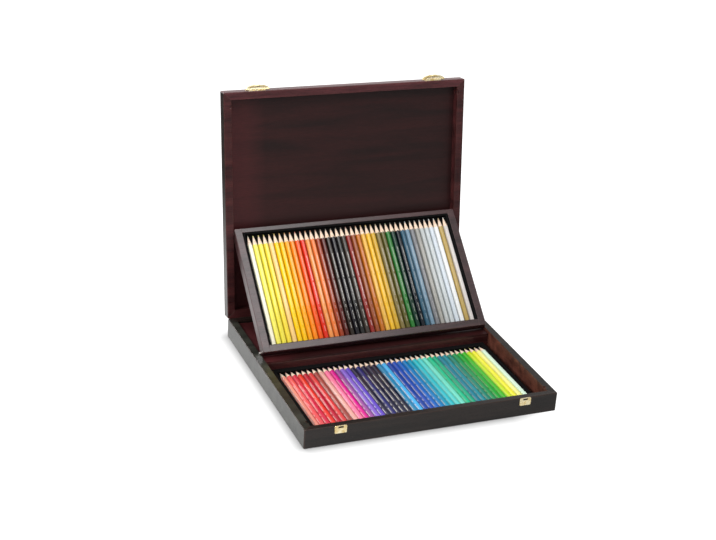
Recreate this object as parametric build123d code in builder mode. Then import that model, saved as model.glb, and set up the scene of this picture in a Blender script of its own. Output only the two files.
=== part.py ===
from build123d import *
from math import asin, atan, atan2, cos, degrees, hypot, pi, radians, sin
import os

# A wooden pencil case with two rows of forty pencils. Millimetres, X to the right,
# Y to the back, Z up. The origin is the middle of the base's underside.
# The lid stands open and the inclined tray hangs in it, as in the photograph.

# The case's width and depth follow from the pencils that it holds.
base_height = 29.0
lid_height = 16.4
side_wall = 11.5
back_wall = 11.5
base_front_wall = 9.5
lid_front_rail = 11.0
panel_thickness = 3.0
panel_lap = 5.0
corner_ease = 1.2
edge_ease = 0.7
open_angle = 97.5
lid_overhang = 0.35

# Clearances between bodies that move, and between a shaft and its hole
rim_gap = 0.3
rest_gap = 0.3
running_gap = 0.3
shaft_gap = 0.05

# Shelf at the back of the base, that the tray rests on
shelf_below_rim = 4.0
shelf_board = 3.0

# Tray. Its pivots lie up the lid by a share of the distance from them to its lower end.
tray_thickness = 15.2
tray_side_gap = 1.0
tray_front_gap = 6.67
pivot_share = 0.67
tray_side_rail = 10.8
tray_lower_rail = 10.5
tray_upper_rail = 7.0
pivot_inset = 4.0
guide_pin_inset = 4.4
pivot_pin_radius = 1.5
guide_pin_radius = 1.6
pin_grip = 5.5
pivot_pin_reach = 7.5
guide_pin_reach = 2.0
notch_room = 0.6
notch_floor_room = 0.4

# Pencils: hexagonal, sharpened to a cone
pencils_in_row = 40
pencils_in_group = 5
pencil_length = 175.0
pencil_flats = 7.0
pencil_gap = 0.04
cone_length = 15.0
cone_sides = 12
tip_radius = 0.35
cone_overrun = 0.25
upper_axis_depth = 4.5
upper_end_inset = 11.4
upper_tip_inset = 11.6
lower_axis_height = 10.3
lower_end_inset = 5.25
lower_tip_inset = 11.25

# Black inserts that hold the pencils
lower_insert_rim = 11.5
lower_insert_margin = 7.0
upper_insert_drop = 1.0
upper_insert_margin = 4.26
pocket_side_room = 0.5
pocket_end_room = 0.3
tip_well = 2.0
ridge_height = 2.0
ridge_room = 0.15

# Butt hinges
hinge_from_side = 70.0
hinge_length = 38.0
hinge_leaf_thickness = 1.2
hinge_leaf_width = 7.0
knuckle_radius = 2.0
end_knuckle = 9.5
hinge_pin_radius = 0.9
hinge_screw_spread = 11.0

# Screws
screw_head_radius = 1.7
screw_head_depth = 0.7
screw_shank_radius = 0.9
screw_length = 8.0
screw_sides = 8

# Latches on the lid's front rail and catch plates on the base's front wall
latch_from_side = 51.5
bow_width = 36.0
bow_height = 6.4
bow_band = 3.0
bow_thickness = 1.6
bow_barrel_length = 5.0
bow_inner_corner = 3.0
latch_axis_height = 2.2
latch_axis_inset = 2.6
latch_barrel_radius = 1.5
latch_stub_radius = 0.7
latch_stub_length = 4.0
latch_plate_thickness = 1.1
latch_plate_depth = 10.0
latch_plate_corner = 1.2
latch_screw_spread = 8.0
catch_plate_width = 17.4
catch_plate_height = 11.5
catch_bar = 0.9
catch_slot_width = 7.6
catch_slot_height = 2.7
tongue_width = 6.8
tongue_thickness = 1.7

# The row of pencils sets the width of the tray and of the case.
pencil_corners = pencil_flats / cos(radians(30))
pencil_pitch = pencil_corners + pencil_gap
row_width = pencil_pitch * (pencils_in_row - 1)
row_half_width = (row_width + pencil_corners) / 2
pocket_half_width = row_half_width + pocket_side_room
tray_half_width = row_half_width + upper_insert_margin + tray_side_rail
inner_half_width = tray_half_width + tray_side_gap
half_width = inner_half_width + side_wall
lower_insert_half_width = pocket_half_width + lower_insert_margin

# Their length sets the tray's length, and with its pivots the depth of the case.
tray_length = upper_end_inset + pencil_length + upper_tip_inset
tray_half_thickness = tray_thickness / 2
pivot_to_front = tray_length - pivot_inset
pivot_up_lid = pivot_share * pivot_to_front
case_depth = base_front_wall + tray_front_gap + pivot_to_front + pivot_up_lid - rim_gap / 2
half_depth = case_depth / 2
base_inner_front = -half_depth + base_front_wall
base_inner_back = half_depth - back_wall
hinge_y = half_depth + rim_gap / 2
hinge_z = base_height + rim_gap / 2
lower_row_start = base_inner_front + lower_end_inset
riser_front = lower_row_start + pencil_length + lower_tip_inset

# The pivots, in the closed and in the open case
shelf_top = base_height - shelf_below_rim
closed_pivot_y = hinge_y - pivot_up_lid
closed_pivot_z = shelf_top + rest_gap + tray_half_thickness
pivot_into_lid = closed_pivot_z - hinge_z
lean = radians(open_angle - 90)
pivot_y = hinge_y + pivot_up_lid * sin(lean) + pivot_into_lid * cos(lean)
pivot_z = hinge_z + pivot_up_lid * cos(lean) - pivot_into_lid * sin(lean)

# The open tray leans until its lower back edge is just clear of the shelf.
rest_drop = pivot_z - shelf_top - rest_gap
reach = hypot(pivot_to_front, tray_half_thickness)
tray_tilt = asin(rest_drop / reach) - atan2(tray_half_thickness, pivot_to_front)

# The guide pins stop just above the base's rim when the case is open.
guide_pin_along = pivot_to_front - guide_pin_inset
guide_pin_z = base_height + rest_gap + guide_pin_radius
guide_pin_below = (pivot_z - guide_pin_along * sin(tray_tilt) - guide_pin_z) / cos(tray_tilt)
guide_pin_end = tray_half_width + tray_side_gap + guide_pin_reach

# Where the guide pins lie when the case is closed, in the base and in the lid
closed_guide_y = closed_pivot_y - guide_pin_along
closed_guide_z = closed_pivot_z - guide_pin_below
closed_guide_up_lid = hinge_y - closed_guide_y
notch_half = guide_pin_radius + notch_room
notch_floor_z = closed_guide_z - guide_pin_radius - notch_floor_room
lid_notch_floor = closed_guide_z + guide_pin_radius + notch_floor_room - hinge_z

latch_face = hinge_y + half_depth
latch_axis_up = latch_face + latch_axis_height
latch_plate_half = bow_width / 2 - bow_barrel_length - running_gap
stub_inner = latch_plate_half - latch_stub_length

base_plane = Plane.XY
lid_plane = Plane(
    origin=(0, hinge_y, hinge_z), x_dir=(1, 0, 0), z_dir=(0, -cos(lean), sin(lean))
)
lid_back_plane = lid_plane.offset(-rim_gap / 2 - lid_height)
tray_plane = Plane(
    origin=(0, pivot_y, pivot_z), x_dir=(1, 0, 0), z_dir=(0, -sin(tray_tilt), cos(tray_tilt))
)
tray_back_plane = tray_plane.offset(-tray_half_thickness)


def board(x_span, y_span, z_span, mode=Mode.ADD):
    """A rectangular board, given by its two ends along each axis of the current plane."""
    spans = (x_span, y_span, z_span)
    middle = tuple((low + high) / 2 for low, high in spans)
    size = tuple(high - low for low, high in spans)
    with Locations(middle):
        Box(*size, mode=mode)


def rod(x_span, y, z, radius, mode=Mode.ADD):
    """A round bar lying along X."""
    low, high = x_span
    with Locations(((low + high) / 2, y, z)):
        Cylinder(radius, high - low, rotation=(0, 90, 0), mode=mode)


def both_sides(low, high):
    """The same span on the right and, mirrored, on the left."""
    return ((low, high), (-high, -low))


def rectangle_between(low, high, mode=Mode.ADD):
    """A rectangle in the current sketch, given by two opposite corners."""
    with Locations(((low[0] + high[0]) / 2, (low[1] + high[1]) / 2)):
        Rectangle(high[0] - low[0], high[1] - low[1], mode=mode)


def rail_frame(plane, low, high, rails, height, mitred, square_edge=None):
    """Four rails round an opening, with a seat underneath for a panel, and the panel itself.

    The rails are given as left-and-right, front and back widths. The plane lies on the
    underside of the frame and faces its rim. The corners are mitred, or else the side rails
    run past the ends of the other two. The outer edges are eased, apart from the rim's edge
    along the hinges, 0 for the front one and -1 for the back one, where two frames meet.
    """
    side, front, back = rails
    inner_low = (low[0] + side, low[1] + front)
    inner_high = (high[0] - side, high[1] - back)
    seat_low = (inner_low[0] - panel_lap, inner_low[1] - panel_lap)
    seat_high = (inner_high[0] + panel_lap, inner_high[1] + panel_lap)
    up = Axis(plane.origin, plane.z_dir)
    with BuildPart() as ring:
        with BuildSketch(plane) as outline:
            rectangle_between(low, high)
            chamfer(outline.vertices(), corner_ease)
            rectangle_between(inner_low, inner_high, mode=Mode.SUBTRACT)
        extrude(amount=height)
        levels = ring.faces().sort_by(up)
        rim = levels[-1].outer_wire().edges().sort_by(Axis(plane.origin, plane.y_dir))
        if square_edge is not None:
            rim.pop(square_edge)
        chamfer(rim + levels[0].outer_wire().edges(), edge_ease)
        with BuildSketch(plane):
            rectangle_between(seat_low, seat_high)
        extrude(amount=panel_thickness, mode=Mode.SUBTRACT)

    corners = (low, (high[0], low[1]), high, (low[0], high[1]))
    inner_corners = (
        inner_low,
        (inner_high[0], inner_low[1]),
        inner_high,
        (inner_low[0], inner_high[1]),
    )
    pieces = {}
    for index, name in enumerate(("front", "right", "back", "left")):
        outer_ends = [corners[index], corners[(index + 1) % 4]]
        inner_ends = [inner_corners[index], inner_corners[(index + 1) % 4]]
        if not mitred:
            butts = [(inner[0], outer[1]) for inner, outer in zip(inner_ends, outer_ends)]
            if name in ("front", "back"):
                outer_ends = butts
            else:
                inner_ends = butts
        with BuildPart() as rail:
            add(ring.part)
            with BuildSketch(plane):
                Polygon(*outer_ends, *reversed(inner_ends), align=None)
            extrude(amount=height, mode=Mode.INTERSECT)
        pieces[name] = rail.part
    with BuildPart() as panel:
        with BuildSketch(plane):
            rectangle_between(seat_low, seat_high)
        extrude(amount=panel_thickness)
    pieces["panel"] = panel.part
    return pieces


def screws(plane, places):
    """Flat-headed screws, with their heads flush with the plane."""
    with BuildPart() as group:
        for radius, length in (
            (screw_shank_radius, screw_length),
            (screw_head_radius, screw_head_depth),
        ):
            with BuildSketch(plane):
                with Locations(*places):
                    RegularPolygon(radius, screw_sides)
            extrude(amount=-length)
    return group.part


def hinge_leaf(plane, side, centre, own_knuckles, bore, leaf_screws):
    """One leaf of a butt hinge let in flush, with its share of the knuckles.

    The plane passes through the hinge axis. Side is +1 for a leaf lying towards the plane's +Y
    and -1 for one lying towards -Y; its outer face is half the rim gap below the axis.
    """
    top = -rim_gap / 2
    bottom = top - hinge_leaf_thickness
    near = knuckle_radius + running_gap
    far = near + hinge_leaf_width
    half = hinge_length / 2
    with BuildPart() as leaf:
        with Locations(plane):
            leaf_span = (near, far) if side > 0 else (-far, -near)
            board((centre - half, centre + half), leaf_span, (bottom, top))
            for low, high in own_knuckles:
                span = (centre + low, centre + high)
                tongue = (hinge_pin_radius, near) if side > 0 else (-near, -hinge_pin_radius)
                board(span, tongue, (bottom, top))
                rod(span, 0, 0, knuckle_radius)
                rod(span, 0, 0, bore, mode=Mode.SUBTRACT)
        add(leaf_screws, mode=Mode.SUBTRACT)
    return leaf.part


def rail_with_hinges(rail, plane, side, rail_screws):
    """A rail with the leaves, the knuckles and the screws of both hinges let into it."""
    top = -rim_gap / 2
    near = knuckle_radius + running_gap
    with BuildPart() as cut_rail:
        add(rail)
        with Locations(plane):
            for centre in hinge_centres:
                span = (centre - hinge_length / 2, centre + hinge_length / 2)
                knuckle_span = (span[0] - running_gap, span[1] + running_gap)
                far = near + hinge_leaf_width
                leaf_span = (0, far) if side > 0 else (-far, 0)
                board(span, leaf_span, (top - hinge_leaf_thickness, 0), mode=Mode.SUBTRACT)
                rod(knuckle_span, 0, 0, near, mode=Mode.SUBTRACT)
        add(rail_screws, mode=Mode.SUBTRACT)
    return cut_rail.part


def grooved_insert(plane, low, high, height, row_start, axis_height):
    """A black insert with a pocket for the pencils and a ridge between every two of them."""
    row_end = row_start + pencil_length
    floor = axis_height - pencil_flats / 2
    ridge_base = pencil_pitch - pencil_corners / 2 - 2 * ridge_room
    ridge_length = pencil_length - cone_length + pocket_end_room
    with BuildPart(plane) as insert:
        board((low[0], high[0]), (low[1], high[1]), (0, height))
        board(
            (-pocket_half_width, pocket_half_width),
            (row_start - pocket_end_room, row_end + tip_well),
            (floor, height),
            mode=Mode.SUBTRACT,
        )
        start = plane.from_local_coords((0, row_start - pocket_end_room, floor))
        ends = Plane(origin=start, x_dir=plane.x_dir, z_dir=plane.y_dir)
        with BuildSketch(ends):
            with GridLocations(pencil_pitch, 1, pencils_in_row - 1, 1):
                Trapezoid(ridge_base, ridge_height, 60, rotation=180, align=(Align.CENTER, Align.MIN))
        extrude(amount=ridge_length)
    return insert.part


def pencil_groups(plane, row_start, axis_height):
    """The forty pencils of one row, in groups of five side by side."""
    start = plane.from_local_coords((0, row_start, axis_height))
    ends = Plane(origin=start, x_dir=plane.x_dir, z_dir=plane.y_dir)
    groups = []
    for first in range(0, pencils_in_row, pencils_in_group):
        places = [
            ((index - (pencils_in_row - 1) / 2) * pencil_pitch, 0, 0)
            for index in range(first, first + pencils_in_group)
        ]
        with BuildPart(ends) as group:
            with Locations(*places):
                add(pencil.part)
        groups.append(group.part)
    return groups


# One pencil. The sharpener's cone, drawn with flat facets, meets the six flats in scallops.
facet = cos(pi / cone_sides)
widest = pencil_corners / 2 + cone_overrun
cone_slope = (pencil_flats / 2 - tip_radius * facet) / cone_length
cone_start = pencil_length - (widest - tip_radius) * facet / cone_slope
with BuildPart() as sharpener:
    with BuildSketch():
        RegularPolygon(widest, cone_sides)
    extrude(amount=cone_start)
    with BuildSketch(Plane.XY.offset(cone_start)):
        RegularPolygon(widest, cone_sides)
    extrude(amount=pencil_length - cone_start, taper=degrees(atan(cone_slope)))
with BuildPart() as pencil:
    with BuildSketch():
        RegularPolygon(pencil_flats / 2, 6, major_radius=False)
    extrude(amount=pencil_length)
    add(sharpener.part, mode=Mode.INTERSECT)

# Screws and hinges
hinge_centres = (hinge_from_side - half_width, half_width - hinge_from_side)
leaf_middle = knuckle_radius + running_gap + hinge_leaf_width / 2
leaf_top = -rim_gap / 2
axis_plane = Plane(origin=(0, hinge_y, hinge_z), x_dir=(1, 0, 0), z_dir=(0, 0, 1))
screw_places = [
    centre + across * hinge_screw_spread
    for centre in hinge_centres
    for across in (-1, 1)
]
base_hinge_screws = screws(axis_plane.offset(leaf_top), [(x, -leaf_middle) for x in screw_places])
lid_hinge_screws = screws(lid_plane.offset(leaf_top), [(x, leaf_middle) for x in screw_places])

half_hinge = hinge_length / 2
inner_knuckle = half_hinge - end_knuckle - running_gap
base_knuckles = ((-half_hinge, end_knuckle - half_hinge), (half_hinge - end_knuckle, half_hinge))
lid_knuckles = ((-inner_knuckle, inner_knuckle),)

base_leaves = [
    hinge_leaf(axis_plane, -1, centre, base_knuckles, hinge_pin_radius, base_hinge_screws)
    for centre in hinge_centres
]
lid_bore = hinge_pin_radius + shaft_gap
lid_leaves = [
    hinge_leaf(lid_plane, 1, centre, lid_knuckles, lid_bore, lid_hinge_screws)
    for centre in hinge_centres
]

with BuildPart(axis_plane) as hinge_pins:
    for centre in hinge_centres:
        rod((centre - half_hinge, centre + half_hinge), 0, 0, hinge_pin_radius)

# Latches: a plate with a barrel, and a bow that is sprung into the barrel's two ends and
# swings there. At rest the bow stands straight up from the lid's edge.
latch_places = (latch_from_side - half_width, half_width - latch_from_side)
latch_face_plane = Plane(
    origin=lid_plane.from_local_coords((0, latch_face, -latch_axis_inset)),
    x_dir=lid_plane.x_dir,
    z_dir=lid_plane.y_dir,
)
plate_rim = latch_barrel_radius
plate_back = latch_plate_depth - latch_barrel_radius
latch_screw_y = (plate_back + latch_barrel_radius) / 2
latch_screws = screws(
    latch_face_plane.offset(latch_plate_thickness),
    [
        (x + across * latch_screw_spread, latch_screw_y)
        for x in latch_places
        for across in (-1, 1)
    ],
)

latch_plates = []
latch_bows = []
bow_plane = Plane(
    origin=lid_plane.from_local_coords((0, latch_axis_up, -latch_axis_inset)),
    x_dir=lid_plane.x_dir,
    z_dir=lid_plane.z_dir,
)
for x in latch_places:
    with BuildPart(latch_face_plane) as latch_plate:
        with BuildSketch(latch_face_plane) as plate_outline:
            rectangle_between(
                (x - latch_plate_half, -plate_rim), (x + latch_plate_half, plate_back)
            )
            chamfer(plate_outline.vertices(), latch_plate_corner)
        extrude(amount=latch_plate_thickness)
        span = (x - latch_plate_half, x + latch_plate_half)
        rod(span, 0, latch_axis_height, latch_barrel_radius)
        bore = latch_stub_radius + shaft_gap
        for low, high in both_sides(stub_inner - running_gap, latch_plate_half):
            rod((x + low, x + high), 0, latch_axis_height, bore, mode=Mode.SUBTRACT)
    with BuildPart() as latch_plate_drilled:
        add(latch_plate.part)
        add(latch_screws, mode=Mode.SUBTRACT)
    latch_plates.append(latch_plate_drilled.part)

    with BuildPart(bow_plane) as latch_bow:
        half_bow = bow_width / 2
        inner_half = half_bow - bow_barrel_length
        inner_height = bow_height - bow_band
        with BuildSketch(bow_plane):
            with Locations((x, 0)):
                Ellipse(half_bow, bow_height)
                RectangleRounded(
                    2 * inner_half, 2 * inner_height, bow_inner_corner, mode=Mode.SUBTRACT
                )
            rectangle_between((x - half_bow, -bow_height), (x + half_bow, 0), mode=Mode.SUBTRACT)
        extrude(amount=bow_thickness / 2, both=True)
        for low, high in both_sides(inner_half, half_bow):
            rod((x + low, x + high), 0, 0, latch_barrel_radius)
        for low, high in both_sides(stub_inner, inner_half):
            rod((x + low, x + high), 0, 0, latch_stub_radius)
        tongue_near = latch_axis_inset + catch_bar + rim_gap / 2 + rest_gap
        tongue_end = latch_axis_height - rest_gap
        board(
            (x - tongue_width / 2, x + tongue_width / 2),
            (tongue_near, tongue_near + tongue_thickness),
            (0, tongue_end),
        )
    latch_bows.append(latch_bow.part)

# Catch plates on the front of the base, each with a slot for the tongue
front_plane = Plane(origin=(0, -half_depth, base_height), x_dir=(1, 0, 0), z_dir=(0, -1, 0))
catch_plates = []
for x in latch_places:
    with BuildPart(front_plane) as catch_plate:
        half = catch_plate_width / 2
        with BuildSketch(front_plane) as catch_outline:
            rectangle_between((x - half, -catch_plate_height), (x + half, 0))
            chamfer(catch_outline.vertices(), latch_plate_corner)
            rectangle_between(
                (x - catch_slot_width / 2, -catch_bar - catch_slot_height),
                (x + catch_slot_width / 2, -catch_bar),
                mode=Mode.SUBTRACT,
            )
        extrude(amount=latch_plate_thickness)
    catch_plates.append(catch_plate.part)

# Pins of the tray: pivots near its upper end, guides near its lower end
with BuildPart(tray_plane) as tray_pivot_pins:
    inner = tray_half_width - pin_grip
    for span in both_sides(inner, inner_half_width + pivot_pin_reach):
        rod(span, 0, 0, pivot_pin_radius)
with BuildPart(tray_plane) as tray_guide_pins:
    for span in both_sides(tray_half_width - pin_grip, guide_pin_end):
        rod(span, -guide_pin_along, -guide_pin_below, guide_pin_radius)

# Base
base_frame = rail_frame(
    base_plane,
    (-half_width, -half_depth),
    (half_width, half_depth),
    (side_wall, base_front_wall, back_wall),
    base_height,
    mitred=True,
    square_edge=-1,
)
base_back_wall = rail_with_hinges(base_frame["back"], axis_plane, -1, base_hinge_screws)
base_side_walls = {}
for name, (low, high) in zip(("right", "left"), both_sides(inner_half_width, guide_pin_end + notch_room)):
    with BuildPart() as side_wall_part:
        add(base_frame[name])
        board(
            (low, high),
            (closed_guide_y - notch_half, closed_guide_y + notch_half),
            (notch_floor_z, base_height),
            mode=Mode.SUBTRACT,
        )
    base_side_walls[name] = side_wall_part.part

with BuildPart() as riser_board:
    board(
        (-inner_half_width, inner_half_width),
        (riser_front, riser_front + shelf_board),
        (panel_thickness, shelf_top - shelf_board),
    )
with BuildPart() as shelf_panel:
    board(
        (-inner_half_width, inner_half_width),
        (riser_front, base_inner_back),
        (shelf_top - shelf_board, shelf_top),
    )

lower_insert_plane = Plane(origin=(0, 0, panel_thickness), x_dir=(1, 0, 0), z_dir=(0, 0, 1))
lower_insert = grooved_insert(
    lower_insert_plane,
    (-lower_insert_half_width, base_inner_front),
    (lower_insert_half_width, riser_front),
    lower_insert_rim - panel_thickness,
    lower_row_start,
    lower_axis_height - panel_thickness,
)
lower_pencils = pencil_groups(
    lower_insert_plane, lower_row_start, lower_axis_height - panel_thickness
)

# Lid. Its rear rail reaches past the hinge axis, so that the open lid covers the slit there.
lid_frame = rail_frame(
    lid_back_plane,
    (-half_width, -lid_overhang),
    (half_width, latch_face),
    (side_wall, hinge_y - half_depth + back_wall + lid_overhang, lid_front_rail),
    lid_height,
    mitred=True,
    square_edge=0,
)
lid_rear_rail = rail_with_hinges(lid_frame["front"], lid_plane, 1, lid_hinge_screws)
with BuildPart() as lid_front_rail_part:
    add(lid_frame["back"])
    add(latch_screws, mode=Mode.SUBTRACT)
lid_side_rails = {}
hole_ends = both_sides(inner_half_width, inner_half_width + pivot_pin_reach + running_gap)
notch_ends = both_sides(inner_half_width, guide_pin_end + notch_room)
for name, hole, notch in zip(("right", "left"), hole_ends, notch_ends):
    bore = pivot_pin_radius + shaft_gap
    with BuildPart() as lid_side_rail:
        add(lid_frame[name])
        with Locations(lid_plane):
            rod(hole, pivot_up_lid, -pivot_into_lid, bore, mode=Mode.SUBTRACT)
            board(
                notch,
                (closed_guide_up_lid - notch_half, closed_guide_up_lid + notch_half),
                (-lid_notch_floor, 0),
                mode=Mode.SUBTRACT,
            )
    lid_side_rails[name] = lid_side_rail.part

# Tray
tray_low = (-tray_half_width, pivot_inset - tray_length)
tray_high = (tray_half_width, pivot_inset)
tray_frame = rail_frame(
    tray_back_plane,
    tray_low,
    tray_high,
    (tray_side_rail, tray_lower_rail, tray_upper_rail),
    tray_thickness,
    mitred=False,
)
tray_side_rails = {}
for name in ("right", "left"):
    with BuildPart() as side_rail_with_pins:
        add(tray_frame[name])
        add(tray_pivot_pins.part, mode=Mode.SUBTRACT)
        add(tray_guide_pins.part, mode=Mode.SUBTRACT)
    tray_side_rails[name] = side_rail_with_pins.part

upper_row_start = tray_low[1] + upper_end_inset
upper_insert_plane = tray_back_plane.offset(panel_thickness)
upper_axis_height = tray_thickness - upper_axis_depth - panel_thickness
upper_insert = grooved_insert(
    upper_insert_plane,
    (-tray_half_width + tray_side_rail, tray_low[1] + tray_lower_rail),
    (tray_half_width - tray_side_rail, tray_high[1] - tray_upper_rail),
    tray_thickness - upper_insert_drop - panel_thickness,
    upper_row_start,
    upper_axis_height,
)
upper_pencils = pencil_groups(upper_insert_plane, upper_row_start, upper_axis_height)

pieces = {
    "base_front_wall": base_frame["front"],
    "base_back_wall": base_back_wall,
    "base_left_wall": base_side_walls["left"],
    "base_right_wall": base_side_walls["right"],
    "base_bottom_panel": base_frame["panel"],
    "riser_board": riser_board.part,
    "shelf_panel": shelf_panel.part,
    "lower_insert": lower_insert,
    "catch_plate_left": catch_plates[0],
    "catch_plate_right": catch_plates[1],
    "base_hinge_leaf_left": base_leaves[0],
    "base_hinge_leaf_right": base_leaves[1],
    "base_hinge_screws": base_hinge_screws,
    "hinge_pins": hinge_pins.part,
    "lid_front_rail": lid_front_rail_part.part,
    "lid_rear_rail": lid_rear_rail,
    "lid_left_rail": lid_side_rails["left"],
    "lid_right_rail": lid_side_rails["right"],
    "lid_panel": lid_frame["panel"],
    "lid_hinge_leaf_left": lid_leaves[0],
    "lid_hinge_leaf_right": lid_leaves[1],
    "lid_hinge_screws": lid_hinge_screws,
    "latch_plate_left": latch_plates[0],
    "latch_plate_right": latch_plates[1],
    "latch_plate_screws": latch_screws,
    "latch_bow_left": latch_bows[0],
    "latch_bow_right": latch_bows[1],
    "tray_upper_rail": tray_frame["back"],
    "tray_lower_rail": tray_frame["front"],
    "tray_left_rail": tray_side_rails["left"],
    "tray_right_rail": tray_side_rails["right"],
    "tray_bottom_panel": tray_frame["panel"],
    "upper_insert": upper_insert,
    "tray_pivot_pins": tray_pivot_pins.part,
    "tray_guide_pins": tray_guide_pins.part,
}
lower_families = ("reds", "pinks", "violets", "navies", "blues", "turquoises", "greens", "limes")
upper_families = ("yellows", "oranges", "rusts", "umbers", "ochres", "olives", "slates", "silvers")
for family, group in zip(lower_families, lower_pencils):
    pieces[f"lower_pencils_{family}"] = group
for family, group in zip(upper_families, upper_pencils):
    pieces[f"upper_pencils_{family}"] = group

os.makedirs("parts", exist_ok=True)
for name, piece in pieces.items():
    piece.label = name
    export_step(piece, f"parts/{name}.step")
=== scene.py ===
"""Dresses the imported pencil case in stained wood, brass, black inserts and eighty pencils."""

from math import radians

import bpy
import numpy as np
from bpy.props import FloatProperty, FloatVectorProperty, PointerProperty, StringProperty
from mathutils import Matrix, Vector


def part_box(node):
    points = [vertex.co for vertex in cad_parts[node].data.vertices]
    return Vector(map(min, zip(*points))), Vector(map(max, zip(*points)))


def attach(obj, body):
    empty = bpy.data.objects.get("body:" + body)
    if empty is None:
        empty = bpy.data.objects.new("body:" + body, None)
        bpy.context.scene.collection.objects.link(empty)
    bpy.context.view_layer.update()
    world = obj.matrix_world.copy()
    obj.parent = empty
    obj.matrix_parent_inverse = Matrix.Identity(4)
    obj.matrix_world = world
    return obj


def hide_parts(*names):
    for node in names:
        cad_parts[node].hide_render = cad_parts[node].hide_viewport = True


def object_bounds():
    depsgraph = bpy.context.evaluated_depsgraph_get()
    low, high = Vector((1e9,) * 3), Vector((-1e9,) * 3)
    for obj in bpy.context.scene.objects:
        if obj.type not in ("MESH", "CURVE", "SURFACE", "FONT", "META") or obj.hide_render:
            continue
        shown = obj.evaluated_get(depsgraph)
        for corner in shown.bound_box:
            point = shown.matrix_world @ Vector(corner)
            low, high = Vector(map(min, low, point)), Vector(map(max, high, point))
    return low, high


bl_info = {
    "name": "Wooden pencil case",
    "version": (1, 0, 0),
    "blender": (4, 5, 0),
    "location": "3D View > Sidebar > Pencil case",
    "description": "Finishes, pencils and studio for a wooden pencil case with a tray",
    "category": "Object",
}

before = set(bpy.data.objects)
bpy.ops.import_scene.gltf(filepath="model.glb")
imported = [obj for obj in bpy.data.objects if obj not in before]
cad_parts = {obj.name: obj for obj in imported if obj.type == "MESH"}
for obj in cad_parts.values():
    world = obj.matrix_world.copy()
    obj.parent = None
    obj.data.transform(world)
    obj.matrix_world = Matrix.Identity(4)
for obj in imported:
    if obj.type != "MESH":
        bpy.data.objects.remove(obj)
cad_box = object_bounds()

MM = 0.001

# The pencils of each row from left to right, in the groups that the solids have.
LOWER_PALETTE = {
    "reds": dict(salmon="#F09482", coral="#E85458", crimson="#CE2242",
                 scarlet="#DA2C22", carmine="#B41230"),
    "pinks": dict(signal_red="#D23A3C", old_rose="#9A4640", grey_pink="#E0A298",
                  pink="#F0769C", hot_pink="#D2188A"),
    "violets": dict(mauve="#96509A", lilac="#8462C8", violet="#6248BC",
                    slate_violet="#1A1A38", indigo="#26286A"),
    "navies": dict(navy="#0E1036", grey_navy="#22243E", blue_black="#0C1030",
                   azure="#2484B0", sky_blue="#44AEE8"),
    "blues": dict(royal_blue="#14409E", ultramarine="#1E4CB0", cobalt="#0E62BA",
                  cerulean="#067CBA", turquoise_blue="#0896B6"),
    "turquoises": dict(aqua="#2CBCC6", light_aqua="#58D0CA", pale_mint="#70DCC6",
                       mint_green="#12BC8A", jade="#0AA680"),
    "greens": dict(deep_cyan="#007E94", petrol="#048A96", teal="#08846E",
                   emerald="#069450", green="#02A42C"),
    "limes": dict(bright_green="#40B81E", lime="#CCE41A", lemon="#F4EE38",
                  pale_yellow="#F8F496", mint_white="#DAF4DE"),
}
UPPER_PALETTE = {
    "yellows": dict(cream="#F8F4D8", pale_yellow="#F4EA62", lemon="#F0E24C",
                    yellow="#F4DC44", peach="#F6D084"),
    "oranges": dict(golden_yellow="#FBD010", amber="#FBC40E", light_orange="#FAA818",
                    orange="#F78A14", deep_orange="#EC5614"),
    "rusts": dict(vermilion="#DA2A12", apricot="#EC944C", salmon_orange="#E67A3A",
                  rust="#983A1A", burgundy="#561C16"),
    "umbers": dict(sepia="#261C14", ink="#121018", charcoal="#1E1E1E",
                   taupe="#3E3630", brick="#8E2A24"),
    "ochres": dict(terracotta="#964C28", ochre="#C06C1C", naples_yellow="#E8B44A",
                   marigold="#EEBC30", mustard="#D0A630"),
    "olives": dict(khaki="#7E7040", olive="#5E5A28", leaf_green="#2A7630",
                   bottle_green="#0E3426", blue_black="#06121C"),
    "slates": dict(slate_blue="#345C72", grey_blue="#7490A4", grey="#808084",
                   warm_grey="#A4A29C", light_grey="#C0C4C4"),
    "silvers": dict(pale_grey="#CCD2D4", bluish_white="#D8E0E8", white="#F4F4F2",
                    gold="#BCA05C", silver="#DAD4D0"),
}

# How much of each group's foil covers the lacquer: fully on the dark pencils, thinly on the pale.
LOWER_FOIL = (0.6, 0.5, 0.8, 1.0, 0.6, 0.2, 0.3, 0.15)
UPPER_FOIL = (0.05, 0.1, 0.3, 0.45, 0.15, 0.35, 0.25, 0.1)
# Where each bar of foil starts and ends, in shares of the pencil's length from its tip.
FOIL_BARS = ((0.24, 0.47), (0.49, 0.69), (0.72, 0.75), (0.78, 0.86), (0.89, 0.94))
ROW_COUNT = 40
GROUP_COUNT = 5

# The materials of a pencil, by their place in its list
LACQUER, WOOD, CORE = 0, 1, 2

# How a pattern turns so that its grain runs along x
ACROSS = (0.0, 0.0, 0.0)
FRONT_TO_BACK = (0.0, 0.0, radians(-90))

PLYWOOD = ("base_bottom_panel", "shelf_panel", "lid_panel", "tray_bottom_panel")
INSERTS = ("lower_insert", "upper_insert")
BRASS = (
    "catch_plate_left", "catch_plate_right",
    "base_hinge_leaf_left", "base_hinge_leaf_right",
    "lid_hinge_leaf_left", "lid_hinge_leaf_right", "hinge_pins",
    "latch_plate_left", "latch_plate_right",
)
NICKEL = ("tray_pivot_pins", "tray_guide_pins")

# Points round a rolled barrel or a rounded rectangle, and along half a bow
ROUND_COUNT = 24
ARCH_COUNT = 49


def linear(hex_colour, alpha=1.0):
    """An sRGB hex colour as linear red, green and blue, with an alpha."""
    value = np.array([int(hex_colour[i : i + 2], 16) for i in (1, 3, 5)]) / 255
    low, high = value / 12.92, ((value + 0.055) / 1.055) ** 2.4
    return (*np.where(value <= 0.04045, low, high), alpha)


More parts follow.
